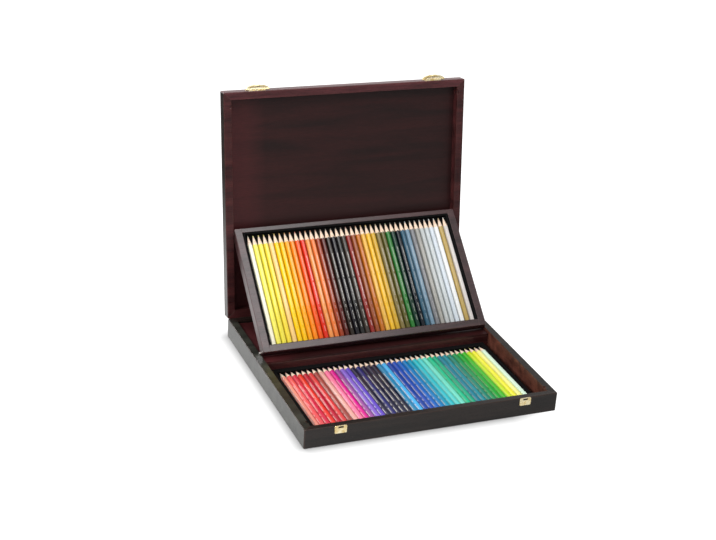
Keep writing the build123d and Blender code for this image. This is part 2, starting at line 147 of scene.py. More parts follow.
def add_node(tree, kind, inputs=None, stops=None, **settings):
    """A shader node with its settings, and its inputs by name or number. An input is a value, a
    socket to link, or a node, which stands for its first output in use. A ramp also has stops:
    hex colours by their places from 0 to 1, in order."""
    node = tree.nodes.new("ShaderNode" + kind)
    for name, value in settings.items():
        setattr(node, name, value)
    if stops:
        elements = node.color_ramp.elements
        for place in list(stops)[1:-1]:
            elements.new(place)
        for element, (place, colour) in zip(elements, stops.items()):
            element.position = place
            element.color = linear(colour)
    for name, value in (inputs or {}).items():
        if isinstance(value, bpy.types.Node):
            value = next(output for output in value.outputs if output.enabled)
        if isinstance(value, bpy.types.NodeSocket):
            tree.links.new(value, node.inputs[name])
        else:
            node.inputs[name].default_value = value
    return node


def new_material(name):
    """An empty node material, and the tree to fill."""
    material = bpy.data.materials.new(name)
    material.use_nodes = True
    material.node_tree.nodes.clear()
    return material, material.node_tree


def finish_material(material, surface, relief=None):
    """The last nodes of a finish: the bump of its relief, the shader of its surface, and the
    output. Returns the material."""
    tree = material.node_tree
    if relief:
        surface = {**surface, "Normal": add_node(tree, "Bump", relief)}
    shader = add_node(tree, "BsdfPrincipled", surface)
    add_node(tree, "OutputMaterial", {"Surface": shader})
    return material


def shaded_by(tree, colour, pattern, start, end, least):
    """A colour times a pattern: times the least up to the pattern's start, rising evenly to the
    full colour at its end."""
    shade = add_node(
        tree, "MapRange", {"Value": pattern, "From Min": start, "From Max": end, "To Min": least},
    )
    return add_node(
        tree, "Mix", {0: 1.0, 6: colour, 7: shade}, data_type="RGBA", blend_type="MULTIPLY"
    )


def grain(tree, turn, scale, character):
    """Noise on Object coordinates in metres, turned so that the grain runs along x and then
    scaled: marks are about one over the scale, in metres, along each axis."""
    place = add_node(tree, "TexCoord").outputs["Object"]
    drawn_out = add_node(tree, "Mapping", {"Vector": place, "Rotation": turn, "Scale": scale})
    return add_node(tree, "TexNoise", {"Vector": drawn_out, "Scale": 1.0, **character})


def speckle(tree, character):
    """Noise on Object coordinates in metres, alike in every direction."""
    place = add_node(tree, "TexCoord").outputs["Object"]
    return add_node(tree, "TexNoise", {"Vector": place, **character})


def edge_mask(tree, radius):
    """One at the sharp edges of a solid and zero on its faces: how far a rounded normal leans
    from the true one. Returns the mask and the rounded normal."""
    rounded = add_node(tree, "Bevel", {"Radius": radius}, samples=4)
    true = add_node(tree, "NewGeometry").outputs["Normal"]
    lean = add_node(tree, "VectorMath", {0: rounded, 1: true}, operation="DOT_PRODUCT")
    return add_node(tree, "MapRange", {"Value": lean, "From Min": 0.995, "From Max": 0.86}), rounded


def stained_wood(name, turn, dark, light, shine, outside=None):
    """Stained mahogany under satin lacquer: open pores drawn out along the grain, in broad soft
    bands. A board with an outside stain has it on its outer side face, and above the height
    that comes with the stain."""
    finish = bpy.context.scene.pencil_case_finish
    material, tree = new_material(name)
    # Bands about 14 mm wide and ten times as long, as quarter-sawn mahogany has them.
    bands = grain(
        tree, turn, (7.0, 70.0, 70.0), {"Detail": 5.0, "Roughness": 0.6, "Distortion": 0.4}
    )
    # Pores are about 0.2 mm wide in the real wood, and drawn 0.8 mm wide so that they show.
    pores = grain(tree, turn, (60.0, 1200.0, 1200.0), {"Detail": 3.0, "Roughness": 0.7})
    low, high = 0.32, 0.72
    stain = add_node(tree, "ValToRGB", {"Fac": bands}, stops={low: dark, high: light})
    if outside:
        outer_dark, outer_light, height = outside
        outer = add_node(
            tree, "ValToRGB", {"Fac": bands}, stops={low: outer_dark, high: outer_light}
        )
        # The outer side face is the last 0.1 mm of the case's width.
        half_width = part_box("base_right_wall")[1].x
        place = add_node(tree, "TexCoord").outputs["Object"]
        either_side = add_node(tree, "VectorMath", {0: place}, operation="ABSOLUTE")
        past_inside = add_node(
            tree, "VectorMath", {0: either_side, 1: (half_width - 0.1 * MM, 1.0, height)},
            operation="SUBTRACT",
        )
        reach = add_node(tree, "SeparateXYZ", {"Vector": past_inside}).outputs
        furthest = add_node(tree, "Math", {0: reach["X"], 1: reach["Z"]}, operation="MAXIMUM")
        on_outside = add_node(tree, "Math", {0: furthest, 1: 0.0}, operation="GREATER_THAN")
        stain = add_node(tree, "Mix", {0: on_outside, 6: stain, 7: outer}, data_type="RGBA")
    grained = shaded_by(tree, stain, pores, 0.36, 0.52, 0.55)
    # The arrises are mixed halfway toward a lighter colour: partly stain worn thin where sanding
    # rounded them, partly a painted highlight along the edges.
    edge_wear_and_highlight, rounded = edge_mask(tree, 0.9 * MM)
    thinned = add_node(tree, "Math", {0: edge_wear_and_highlight, 1: 0.5}, operation="MULTIPLY")
    coloured = add_node(
        tree, "Mix", {0: thinned, 6: grained, 7: linear(finish.arris_wear_and_highlight)}, data_type="RGBA"
    )
    gloss = add_node(
        tree, "MapRange",
        {"Value": pores, "From Min": 0.3, "From Max": 0.7, "To Min": 0.34, "To Max": 0.26},
    )
    return finish_material(
        material,
        {"Base Color": coloured, "Roughness": gloss, "IOR": 1.45, "Specular IOR Level": shine},
        {"Height": pores, "Normal": rounded, "Strength": 0.12, "Distance": 0.1 * MM},
    )


def stained_plywood(name):
    """Thin plywood in the same stain: calmer, finer grain than the rails, a little browner and
    more matt."""
    finish = bpy.context.scene.pencil_case_finish
    material, tree = new_material(name)
    # The sliced veneer's figure is about 25 mm wide.
    figure = grain(
        tree, ACROSS, (4.0, 40.0, 40.0), {"Detail": 6.0, "Roughness": 0.55, "Distortion": 0.6}
    )
    fibres = grain(tree, ACROSS, (90.0, 1500.0, 1500.0), {"Detail": 2.0})
    veneer = {0.3: finish.veneer_dark, 0.75: finish.veneer_light}
    stain = add_node(tree, "ValToRGB", {"Fac": figure}, stops=veneer)
    # The veneer is mixed toward a lighter red over its last 60 mm on the left.
    left = -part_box("lid_panel")[1].x
    ends = {"From Min": left, "From Max": left + 60 * MM, "To Min": 0.65, "To Max": 0.0}
    place = add_node(tree, "TexCoord").outputs["Object"]
    sideways = add_node(tree, "SeparateXYZ", {"Vector": place}).outputs["X"]
    leftness = add_node(tree, "MapRange", {"Value": sideways, **ends})
    reddened = add_node(
        tree, "Mix", {0: leftness, 6: stain, 7: linear(finish.veneer_red)}, data_type="RGBA"
    )
    coloured = shaded_by(tree, reddened, fibres, 0.35, 0.6, 0.75)
    return finish_material(
        material,
        {"Base Color": coloured, "Roughness": 0.42, "IOR": 1.45, "Specular IOR Level": 0.4},
        {"Height": fibres, "Strength": 0.08, "Distance": 0.1 * MM},
    )


def black_insert_plastic(name):
    """Vacuum-formed black polystyrene: a fine matt skin, with a painted highlight that turns it
    grey only at its rounded lips."""
    finish = bpy.context.scene.pencil_case_finish
    material, tree = new_material(name)
    # A skin of 0.6 mm grit, coarser than the real one so that it shows.
    grit = speckle(tree, {"Scale": 1600.0, "Detail": 3.0, "Roughness": 0.6})
    edge_wear_and_highlight, rounded = edge_mask(tree, 0.6 * MM)
    tone = add_node(
        tree, "MapRange", {"Value": grit, "From Min": 0.3, "From Max": 0.7, "To Max": 0.35}
    )
    # Painted highlight: the rounded lips are lifted toward a grey.
    lifted = add_node(tree, "Math", {0: tone, 1: edge_wear_and_highlight}, operation="MAXIMUM")
    coloured = add_node(
        tree, "Mix", {0: lifted, 6: linear(finish.insert_black), 7: linear(finish.insert_lip_highlight)},
        data_type="RGBA",
    )
    return finish_material(
        material,
        {"Base Color": coloured, "Roughness": 0.8, "IOR": 1.5, "Specular IOR Level": 0.12},
        {"Height": grit, "Normal": rounded, "Strength": 0.2, "Distance": 0.05 * MM},
    )


def polished_metal(name, deep, bright):
    """A polished pressing, brass or nickel: a mirror in soft clouds of two tones, broken by fine
    hairlines from the polishing wheel. Part of it scatters light, as lacquered brass does, so it
    stays pale in dim surroundings."""
    material, tree = new_material(name)
    # Hairlines are drawn 0.3 mm apart, coarser than real ones, so that they show.
    hairlines = grain(tree, ACROSS, (300.0, 3300.0, 3300.0), {"Detail": 2.0})
    tarnish = grain(tree, ACROSS, (160.0, 160.0, 160.0), {"Detail": 3.0})
    colour = add_node(tree, "ValToRGB", {"Fac": tarnish}, stops={0.35: deep, 0.6: bright})
    gloss = add_node(
        tree, "MapRange",
        {"Value": hairlines, "From Min": 0.3, "From Max": 0.7, "To Min": 0.18, "To Max": 0.32},
    )
    rounded = add_node(tree, "Bevel", {"Radius": 0.3 * MM}, samples=4)
    return finish_material(
        material,
        {"Base Color": colour, "Roughness": gloss, "Metallic": 0.7},
        {"Height": hairlines, "Normal": rounded, "Strength": 0.06, "Distance": 0.02 * MM},
    )


def foil_bars(tree, flat_angle, cover):
    """The cover of the plain bars of foil stamped along one flat of a pencil, and zero elsewhere.
    The bars lie where the place across the flat is near its middle and the place along the pencil
    falls within a bar. The cover is a socket, because the foil is thinner on some pencils than on
    others. Returns that cover, and a mask that is one on the whole of that flat."""
    sizes = bpy.context.scene.pencil_case_sizes
    place = add_node(tree, "Attribute", attribute_name="pencil_place").outputs["Vector"]
    across_flat = (-np.sin(flat_angle), 0.0, np.cos(flat_angle))
    out_of_flat = (np.cos(flat_angle), 0.0, np.sin(flat_angle))
    across, out, along = (
        add_node(tree, "VectorMath", {0: place, 1: direction}, operation="DOT_PRODUCT")
        for direction in (across_flat, out_of_flat, (0.0, 1 / sizes.pencil_length, 0.0))
    )
    bare, covered = "#000000", "#FFFFFF"
    stops = {0.0: bare}
    for start, end in FOIL_BARS:
        stops |= {start: covered, end: bare}
    stops[1.0] = bare
    bars = add_node(tree, "ValToRGB", {"Fac": along}, stops=stops)
    bars.color_ramp.interpolation = "CONSTANT"
    either_side = add_node(tree, "Math", {0: across}, operation="ABSOLUTE")
    middle = add_node(
        tree, "Math", {0: either_side, 1: sizes.foil_width / 2}, operation="LESS_THAN"
    )
    # Only this flat and the corners beside it stand out past 0.45 of the pencil's width.
    facing = add_node(
        tree, "Math", {0: out, 1: 0.45 * sizes.pencil_across}, operation="GREATER_THAN"
    )
    # The foil is rubbed through here and there.
    rub = add_node(tree, "TexNoise", {"Vector": place, "Scale": 900.0, "Detail": 3.0})
    kept = add_node(
        tree, "MapRange", {"Value": rub, "From Min": 0.38, "From Max": 0.48, "To Min": 0.15}
    )
    mask = bars
    for factor in (middle, facing, kept, cover):
        mask = add_node(tree, "Math", {0: mask, 1: factor}, operation="MULTIPLY")
    return mask, facing


def pencil_lacquer(name, flat_angle, painted_sheen):
    """Several dipped coats of glossy lacquer, each pencil in its own colour, with a faint
    orange-peel and plain bars of pale foil along one flat. That flat also carries a painted sheen:
    its colour is mixed toward a pale tint, a painted highlight standing in for light on that flat."""
    finish = bpy.context.scene.pencil_case_finish
    material, tree = new_material(name)
    colour = add_node(tree, "Attribute", attribute_name="pencil_colour")
    foil, facing = foil_bars(tree, flat_angle, colour.outputs["Alpha"])
    peel = speckle(tree, {"Scale": 420.0, "Detail": 2.0})
    coloured = shaded_by(tree, colour, peel, 0.3, 0.7, 0.9)
    # Painted highlight: the whole flat is mixed toward the pale sheen tint by the painted sheen
    # share.
    pale = add_node(tree, "Math", {0: facing, 1: painted_sheen}, operation="MULTIPLY")
    painted_sheen_lacquer = add_node(tree, "Mix", {0: pale, 6: coloured, 7: linear(finish.painted_sheen)}, data_type="RGBA")
    stamped = add_node(tree, "Mix", {0: foil, 6: painted_sheen_lacquer, 7: linear(finish.foil)}, data_type="RGBA")
    metal = add_node(tree, "Math", {0: foil, 1: 0.2}, operation="MULTIPLY")
    gloss = add_node(tree, "MapRange", {"Value": foil, "To Min": 0.22, "To Max": 0.35})
    return finish_material(
        material,
        {"Base Color": stamped, "Metallic": metal, "Roughness": gloss, "IOR": 1.52},
        {"Height": peel, "Strength": 0.05, "Distance": 0.1 * MM},
    )


def bare_cedar(name, turn):
    """Incense cedar cut by a sharpener: pinkish tan, silky, with fine lengthwise fibres."""
    finish = bpy.context.scene.pencil_case_finish
    material, tree = new_material(name)
    # Growth rings stand about 1 mm apart across a pencil.
    rings = grain(tree, turn, (60.0, 1000.0, 1000.0), {"Detail": 4.0, "Roughness": 0.6})
    colour = add_node(
        tree, "ValToRGB", {"Fac": rings}, stops={0.35: finish.cedar_dark, 0.65: finish.cedar_light}
    )
    return finish_material(
        material,
        {"Base Color": colour, "Roughness": 0.6, "IOR": 1.5},
        {"Height": rings, "Strength": 0.15, "Distance": 0.05 * MM},
    )


def coloured_core(name):
    """Waxy pigment core: dull and softly glossy in the pencil's own colour, speckled with filler
    and mixed toward a pale cream.
    """
    finish = bpy.context.scene.pencil_case_finish
    material, tree = new_material(name)
    colour = add_node(tree, "Attribute", attribute_name="pencil_colour")
    filler = speckle(tree, {"Scale": 2400.0, "Detail": 2.0})
    coloured = shaded_by(tree, colour, filler, 0.35, 0.65, 0.8)
    # The whole core's colour is mixed 30% toward a pale cream.
    rubbed = add_node(tree, "Mix", {0: 0.3, 6: coloured, 7: linear(finish.wax)}, data_type="RGBA")
    return finish_material(material, {"Base Color": rubbed, "Roughness": 0.45, "IOR": 1.45})


def pencil_finishes(row, flat_angle, painted_sheen, turn):
    """The three finishes of one row's pencils."""
    return [
        pencil_lacquer(f"dipped lacquer, {row}", flat_angle, painted_sheen),
        bare_cedar(f"cut cedar, {row}", turn),
        coloured_core(f"pigment core, {row}"),
    ]


def give_material(names, material):
    """Puts one material in every slot of the named solids."""
    for name in names:
        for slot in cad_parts[name].material_slots:
            slot.material = material


def new_piece(name, points, faces, materials, face_materials, body, node):
    """A mesh object at the origin from point and face arrays, with its poles merged, that rides
    on a body in the place of a solid."""
    mesh = bpy.data.meshes.new(name)
    mesh.from_pydata(points.tolist(), [], faces.tolist())
    for material in materials:
        mesh.materials.append(material)
    mesh.polygons.foreach_set("material_index", face_materials)
    mesh.polygons.foreach_set("use_smooth", np.ones(len(mesh.polygons), dtype=bool))
    mesh.update()
    piece = bpy.data.objects.new(name, mesh)
    bpy.context.scene.collection.objects.link(piece)
    weld = piece.modifiers.new("Merged poles", "WELD")
    weld.merge_threshold = 0.001 * MM
    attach(piece, body)
    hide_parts(node)
    return piece


def ring_faces(rows, columns):
    """The four corners of each face between neighbouring rings of a grid of points."""
    corner = np.arange(rows * columns).reshape(rows, columns)
    nearer, further = corner[:-1], corner[1:]
    return np.stack(
        [nearer, np.roll(nearer, -1, axis=1), np.roll(further, -1, axis=1), further], axis=-1
    ).reshape(-1, 4)


def closed_surface(x, y, z):
    """A surface through a row of closed rings, shut at each end by a pole in the middle of its
    ring. Each coordinate is an array of stations by columns, or of one of them. Returns points
    and faces, turned so that the volume inside is positive."""
    rings = np.stack(np.broadcast_arrays(x, y, z), axis=-1)
    poles = [np.broadcast_to(ring.mean(axis=0), ring.shape) for ring in (rings[0], rings[-1])]
    rings = np.concatenate([poles[0][None], rings, poles[1][None]])
    faces = ring_faces(*rings.shape[:2])
    points = rings.reshape(-1, 3)
    a, b, c, d = (points[faces[:, i]] - points.mean(axis=0) for i in range(4))
    volume = (np.cross(a, b) * c).sum() + (np.cross(a, c) * d).sum()
    return points, faces if volume > 0 else faces[:, ::-1]


def together(surfaces):
    """Several surfaces as one set of points and faces."""
    starts = np.cumsum([0] + [len(points) for points, _ in surfaces[:-1]])
    return (
        np.concatenate([points for points, _ in surfaces]),
        np.concatenate([faces + start for (_, faces), start in zip(surfaces, starts)]),
    )


def carried(points, place):
    """Points carried by a matrix."""
    return points @ np.array(place.to_3x3()).T + np.array(place.translation)


def hexagon_radius(angle, flat_radius, sharpness):
    """The distance from the axis to a six-sided bar with softened corners. It is the inverse of a
    power mean of how far the direction points to each flat: a higher power makes crisper
    corners."""
    flats = np.radians(np.arange(90, 450, 60))
    facing = np.maximum(np.cos(angle[..., None] - flats), 0)
    return flat_radius * (facing**sharpness).sum(-1) ** (-1 / sharpness)


def pencil_surface(sizes):
    """One sharpened pencil along +y with its tip at the origin, as a grid of stations by angles.
    At each angle the radius is the smaller of the hexagon's and the cone's, so the lacquer ends
    in the scallops that a sharpener leaves: a station lies exactly where the two meet. Returns
    points, faces, the material index of each face and each point's place, with its distance from
    the tip."""
    flat_radius = sizes.pencil_across / 2
    tip, core = sizes.tip_radius, sizes.core_radius
    slope = (flat_radius - tip) / sizes.cone_length
    # More angles stand near the corners of the hexagon than on its flats.
    sector = np.radians([0.0, 15.0, 25.0, 28.0, 30.0, 32.0, 35.0, 45.0])
    angle = (np.radians(np.arange(90, 450, 60))[:, None] + sector).ravel()
    corner_sharpness = 14
    hexagon = hexagon_radius(angle, flat_radius, corner_sharpness)
    meeting = (hexagon - tip) / slope
    core_start = (core - tip) / slope
    end = sizes.pencil_length
    rim = 0.25 * MM
    high_cut = meeting - 0.2 * (meeting - core_start)
    low_cut = meeting - 0.6 * (meeting - core_start)
    # The core stands a little thinner than the wood where it leaves it.
    step = 0.03 * core
    # Each row has the distance from the tip, the radius, and the material of the faces after it.
    profile = (
        (end, 0.0, CORE),
        (end, core, WOOD),
        (end, hexagon - rim, LACQUER),
        (end - rim, hexagon, LACQUER),
        (end - 0.5 * (end - meeting), hexagon, LACQUER),
        (meeting + 0.3 * MM, hexagon, LACQUER),
        (meeting, hexagon, WOOD),
        (high_cut, tip + slope * high_cut, WOOD),
        (low_cut, tip + slope * low_cut, WOOD),
        (core_start, core, CORE),
        (core_start, core - step, CORE),
        (0.5 * core_start, tip + slope * 0.5 * core_start - step, CORE),
        (tip, tip, CORE),
        (0.35 * tip, 0.75 * tip, CORE),
        (0.0, 0.0, CORE),
    )
    stations, radii = (
        np.array([np.broadcast_to(row[column], angle.shape) for row in profile])
        for column in (0, 1)
    )
    points = np.stack([radii * np.cos(angle), -stations, radii * np.sin(angle)], axis=-1)
    places = points * (1.0, -1.0, 1.0)
    outward = [0, 3, 2, 1]
    faces = ring_faces(*stations.shape)[:, outward]
    face_materials = np.repeat([row[2] for row in profile[:-1]], len(angle))
    return points.reshape(-1, 3), faces, face_materials, places.ravel()


def lay_row(row, palette, foils, place, body, materials):
    """Lays one row of pencils, group by group, at the pitch that its solids have. The one pencil
    surface is set down at each centre and carried to the row's plane by the matrix. The points
    hold each pencil's colour, with the cover of its foil as the alpha, and their place on it."""
    points, faces, face_materials, places = pencil_surface(bpy.context.scene.pencil_case_sizes)
    names = list(palette)
    lefts = [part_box(f"{row}_pencils_{name}")[0].x for name in names]
    pitch = (lefts[-1] - lefts[0]) / (GROUP_COUNT * (len(names) - 1))
    for index, name in enumerate(names):
        first = (index * GROUP_COUNT - (ROW_COUNT - 1) / 2) * pitch
        centres = first + pitch * np.arange(GROUP_COUNT)
        group, group_faces = together([(points + (x, 0.0, 0.0), faces) for x in centres])
        piece = new_piece(
            f"{row}_row_{name}", carried(group, place), group_faces, materials,
            np.tile(face_materials, GROUP_COUNT), body,
            f"{row}_pencils_{name}",
        )
        tints = np.array([linear(colour, foils[index]) for colour in palette[name].values()])
        colours = piece.data.color_attributes.new("pencil_colour", "FLOAT_COLOR", "POINT")
        colours.data.foreach_set("color", np.repeat(tints, len(points), axis=0).ravel())
        on_pencil = piece.data.attributes.new("pencil_place", "FLOAT_VECTOR", "POINT")
        on_pencil.data.foreach_set("vector", np.tile(places, GROUP_COUNT))


def full_turn(count):
    """Evenly spaced angles all the way round."""
    return np.linspace(0, 2 * np.pi, count, endpoint=False)


def rounded_power(angle, power):
    """Cosine and sine bent into a rounded rectangle: each keeps its sign and is raised to 2 over
    the power."""
    waves = (np.cos(angle), np.sin(angle))
    return [np.sign(wave) * np.abs(wave) ** (2 / power) for wave in waves]


def arch_surface(sizes):
    """The bow's flat arch over its axis. At each angle from one end to the other the section runs
    from a point on the opening, a rounded rectangle, to the point at the same angle on the outer
    half ellipse, and its outline is a rounded rectangle as thick as the sheet."""
    turn = np.linspace(0, np.pi, ARCH_COUNT)[:, None]
    across, thick = rounded_power(full_turn(ROUND_COUNT)[None, :], 5)
    opening_x, opening_y = rounded_power(turn, 4)
    x, y = (
        (outer + inner) / 2 + (outer - inner) / 2 * across
        for outer, inner in (
            (sizes.bow_width / 2 * np.cos(turn), sizes.bow_opening / 2 * opening_x),
            (sizes.bow_height * np.sin(turn), sizes.bow_opening_height * opening_y),
        )
    )
    return closed_surface(x, y, sizes.bow_thickness / 2 * thick)


def barrel_surface(sizes, side):
    """The rolled end of a bow with the stub that it turns on: a profile of radii along the axis,
    turned round it."""
    inner, outer = sizes.bow_opening / 2, sizes.bow_width / 2
    barrel, stub, soft, chamfer = sizes.barrel_radius, 0.7 * MM, 0.3 * MM, 0.2 * MM
    stub_end = inner - 4 * MM
    x = np.array(
        [stub_end, stub_end + chamfer, inner, inner, inner + soft, outer - soft, outer]
    )[:, None]
    radius = np.array(
        [stub - chamfer, stub, stub, barrel - soft, barrel, barrel, barrel - soft]
    )[:, None]
    angle = full_turn(ROUND_COUNT)
    return closed_surface(side * x, radius * np.cos(angle), radius * np.sin(angle))


def tongue_surface(sizes):
    """The tongue that drops behind the catch plate: a rounded rectangle swept across the bow,
    drawn in at its ends."""
    x = np.array([-1.0, -0.98, -0.9, 0.9, 0.98, 1.0])[:, None] * sizes.tongue_width / 2
    swell = np.array([0.7, 0.9, 1.0, 1.0, 0.9, 0.7])[:, None]
    across, along = rounded_power(full_turn(ROUND_COUNT), 5)
    half_thickness, half_reach = 0.85 * MM, 1.0 * MM
    return closed_surface(
        x,
        sizes.tongue_middle[0] + half_thickness * swell * across,
        sizes.tongue_middle[1] + half_reach * swell * along,
    )


def screw_head_surface(sizes):
    """A countersunk head with a slot, its top at z = 0. Each station across the slot is a closed
    loop: over the top along the chord of the disc at that place, then back below. In the slot the
    top of the loop lies lower."""
    half = np.array([0.17, 0.17, 0.35, 0.6, 0.8, 0.93, 0.985])
    across = np.concatenate([-half[::-1], half])[:, None]
    in_slot = np.array([1, 0, 0, 0, 0, 0, 0])
    sunk = np.concatenate([in_slot[::-1], in_slot])[:, None] * sizes.slot_depth
    along = np.array([-0.55, -1.0, -0.94, -0.6, -0.2, 0.2, 0.6, 0.94, 1.0, 0.55])
    height = np.array([-0.7, -0.12, 0.0, 0.0, 0.0, 0.0, 0.0, 0.0, -0.12, -0.7]) * MM
    top = height > -0.5 * MM
    taper = np.where(top, 1.0, 0.55)
    return closed_surface(
        sizes.screw_head_radius * across * taper,
        sizes.screw_head_radius * along * np.sqrt(1 - across**2),
        height - sunk * top,
    )


def shank_surface():
    """The hidden shank of a screw: a profile of radii down from the head, turned round it, with a
    drawn-out point."""
    z = np.array([-0.6, -5.5, -6.5, -7.4, -8.0])[:, None] * MM
    radius = np.array([0.85, 0.85, 0.7, 0.4, 0.1])[:, None] * MM
    angle = full_turn(12)
    return closed_surface(radius * np.cos(angle), radius * np.sin(angle), z)


def lid_plane(sizes):
    """The plane of the lid's rim as it stands open: x along the hinge, y up the lid and z out of
    its front."""
    hinge = Matrix.Translation(Vector(sizes.hinge_line))
    return hinge @ Matrix.Rotation(sizes.lid_lean, 4, "X")


def fitting(name, surface, place, material, body, node):
    """A small metal piece that takes the place of a solid, with its corners kept crisp."""
    points, faces = surface
    one_material = np.zeros(len(faces), dtype=int)
    piece = new_piece(
        name, carried(points, place), faces, [material], one_material, body, node
    )
    piece.data.set_sharp_from_angle(angle=radians(35))


def length(name, description, millimetres):
    """A length, with its default in millimetres."""
    return FloatProperty(
        name=name, description=description, default=millimetres * MM,
        unit="LENGTH", subtype="DISTANCE",
    )


def tilt(name, description, degrees):
    """An angle, with its default in degrees."""
    return FloatProperty(
        name=name, description=description, default=radians(degrees),
        unit="ROTATION", subtype="ANGLE",
    )


def spot(name, description, *millimetres):
    """A place in space, or in a plane, with its default in millimetres."""
    return FloatVectorProperty(
        name=name, description=description, default=[value * MM for value in millimetres],
        size=len(millimetres), unit="LENGTH",
        subtype="TRANSLATION" if len(millimetres) == 3 else "NONE",
    )


def tint(name, description, hex_colour):
    """A colour as an sRGB hex value."""
    return StringProperty(name=name, description=description, default=hex_colour)


def wattage(name, description, watts):
    """A lamp's power."""
    return FloatProperty(name=name, description=description, default=watts, unit="POWER")


class PencilCaseSizes(bpy.types.PropertyGroup):
    """Sizes of the pencils and the small fittings, and their places."""

    pencil_length: length("Pencil length", "Length of a sharpened pencil", 175)
    pencil_across: length("Across flats", "Width of a pencil between opposite flats", 7.0)
    cone_length: length("Cone length", "Length of the sharpened cone on a flat", 15)
    core_radius: length("Core radius", "Radius of the coloured core", 1.0)
    tip_radius: length("Tip radius", "Radius of the point of the core", 0.35)
    foil_width: length("Foil width", "Width of the foil bars on each pencil", 1.1)
    lower_tip: spot("Lower tips", "Where the lower row's points lie", 0.0, 19.75, 10.3)
    tray_pivot: spot("Tray pivot", "Where the tray turns on the lid", 0.0, 190.8337, 157.5285)
    tray_tilt: tilt("Tray tilt", "Slope of the tray when the lid stands open", 40.6837)
    upper_tip: spot("Upper tips", "The upper row's points, in the tray's plane", 0.0, -7.6, 3.1)
    hinge_line: spot("Hinge line", "Middle of the lid's axis", 0.0, 170.15, 29.15)
    lid_lean: tilt("Lid lean", "Slope of the open lid", 82.5)
    latch_axis: spot("Latch axis", "Up the lid and out of its rim plane", 342.35, -2.6)
    plate_screws: spot("Plate screws", "Up the lid and out of its rim plane", 341.25, -7.6)
    tongue_middle: spot("Tongue middle", "Along the bow from its axis and out of it", 4.85, 0.9)
    latch_across: length("Latch across", "From the middle of the case to a latch", 138.5)
    latch_screw_spread: length("Latch screws", "From a latch's middle to each screw", 8.0)
    hinge_across: length("Hinge across", "From the middle of the case to a hinge", 120.0)
    hinge_screw_spread: length("Hinge screws", "From a hinge's middle to each screw", 11.0)
    leaf_middle: length("Leaf middle", "From the hinge axis to the screws of a leaf", 5.8)
    leaf_below: length("Leaf depth", "From the hinge axis down to a leaf's face", 0.15)
    screw_head_radius: length("Screw head", "Radius of a screw's head", 1.7)
    slot_depth: length("Slot depth", "Depth of a screw's slot", 0.45)
    bow_width: length("Bow width", "Width of a latch bow", 36.0)
    bow_height: length("Bow height", "From the latch axis to the top of the bow", 6.4)
    bow_opening: length("Bow opening", "Width of the opening in a bow", 26.0)
    bow_opening_height: length("Opening height", "Height of the opening in a bow", 1.9)
    bow_thickness: length("Bow thickness", "Thickness of a bow's sheet", 1.6)
    barrel_radius: length("Bow barrels", "Radius of the rolled ends of a bow", 1.5)
    tongue_width: length("Tongue width", "Width of the tongue on a bow", 6.8)


class PencilCaseFinish(bpy.types.PropertyGroup):
    """Colours of the case, its pencils and the table, as sRGB hex values."""

    base_dark: tint("Base, dark bands", "Darkest stain", "#171311")
    base_light: tint("Base, light bands", "Lightest stain", "#2E2521")
    # Grey bands painted on the left wall's outer face and rim top: a painted reflection of the pale
    # room.
    rim_reflection_dark: tint("Left rim, dark bands", "Darkest stain", "#1C1C19")
    rim_reflection_light: tint("Left rim, light bands", "Lightest stain", "#3C3D36")
    # Lighter, redder bands painted on the right wall's inner face: painted light from the lamp on
    # the left.
    lit_wall_dark: tint("Right wall, dark bands", "Darkest stain", "#40241E")
    lit_wall_light: tint("Right wall, light bands", "Lightest stain", "#7C4A3C")
    lid_dark: tint("Lid, dark bands", "Darkest stain", "#2C1213")
    lid_light: tint("Lid, light bands", "Lightest stain", "#562A2A")
    tray_dark: tint("Tray, dark bands", "Darkest stain", "#281617")
    tray_light: tint("Tray, light bands", "Lightest stain", "#4C3032")
    rail_dark: tint("Front rail, dark bands", "Darkest stain", "#3A1A1C")
    rail_light: tint("Front rail, light bands", "Lightest stain", "#6A363A")
    # Lighter arris colour: partly stain worn thin, partly a painted highlight.
    arris_wear_and_highlight: tint("Stain, edges", "Stain on the arrises", "#6A4438")
    veneer_dark: tint("Veneer, dark", "Dark veneer figure", "#1C0B0B")
    veneer_light: tint("Veneer, light", "Light veneer figure", "#381616")
    veneer_red: tint("Veneer, red", "Veneer at the left edge", "#5E2629")
    insert_black: tint("Insert", "Matt black plastic", "#020202")
    # Grey of the painted highlight on the insert's lips.
    insert_lip_highlight: tint("Insert lips", "Rubbed plastic edges", "#1C1C1E")
    brass_deep: tint("Brass, deep", "Brass in its duller clouds", "#E4C98A")
    brass_bright: tint("Brass, bright", "Freshly polished brass", "#FAEDC4")
    nickel_deep: tint("Nickel, deep", "Nickel in its duller clouds", "#A8A09C")
    nickel_bright: tint("Nickel, bright", "Clean nickel", "#D8D2CC")
    foil: tint("Foil", "Stamped foil on the pencils", "#F4F1E8")
    # Pale tint for the painted sheen, a painted highlight on one flat of the lacquer.
    painted_sheen: tint("Sheen", "Sheen on the lit flats of the lacquer", "#FFF6F0")
    # A pale cream mixed into the colour of every whole core.
    wax: tint("Wax", "Rubbed wax at the points", "#F6ECDC")
    cedar_dark: tint("Cedar, dark", "Late wood", "#E6C2A2")
    cedar_light: tint("Cedar, light", "Early wood", "#FBEAD8")
    table_white: tint("Table", "The table top as it lights the case", "#BEBEBE")
    table_seen: tint("Table, seen", "The table top as the camera sees it", "#9E9E9E")
    table_far: tint("Table, far", "The far table in gloss", "#303030")


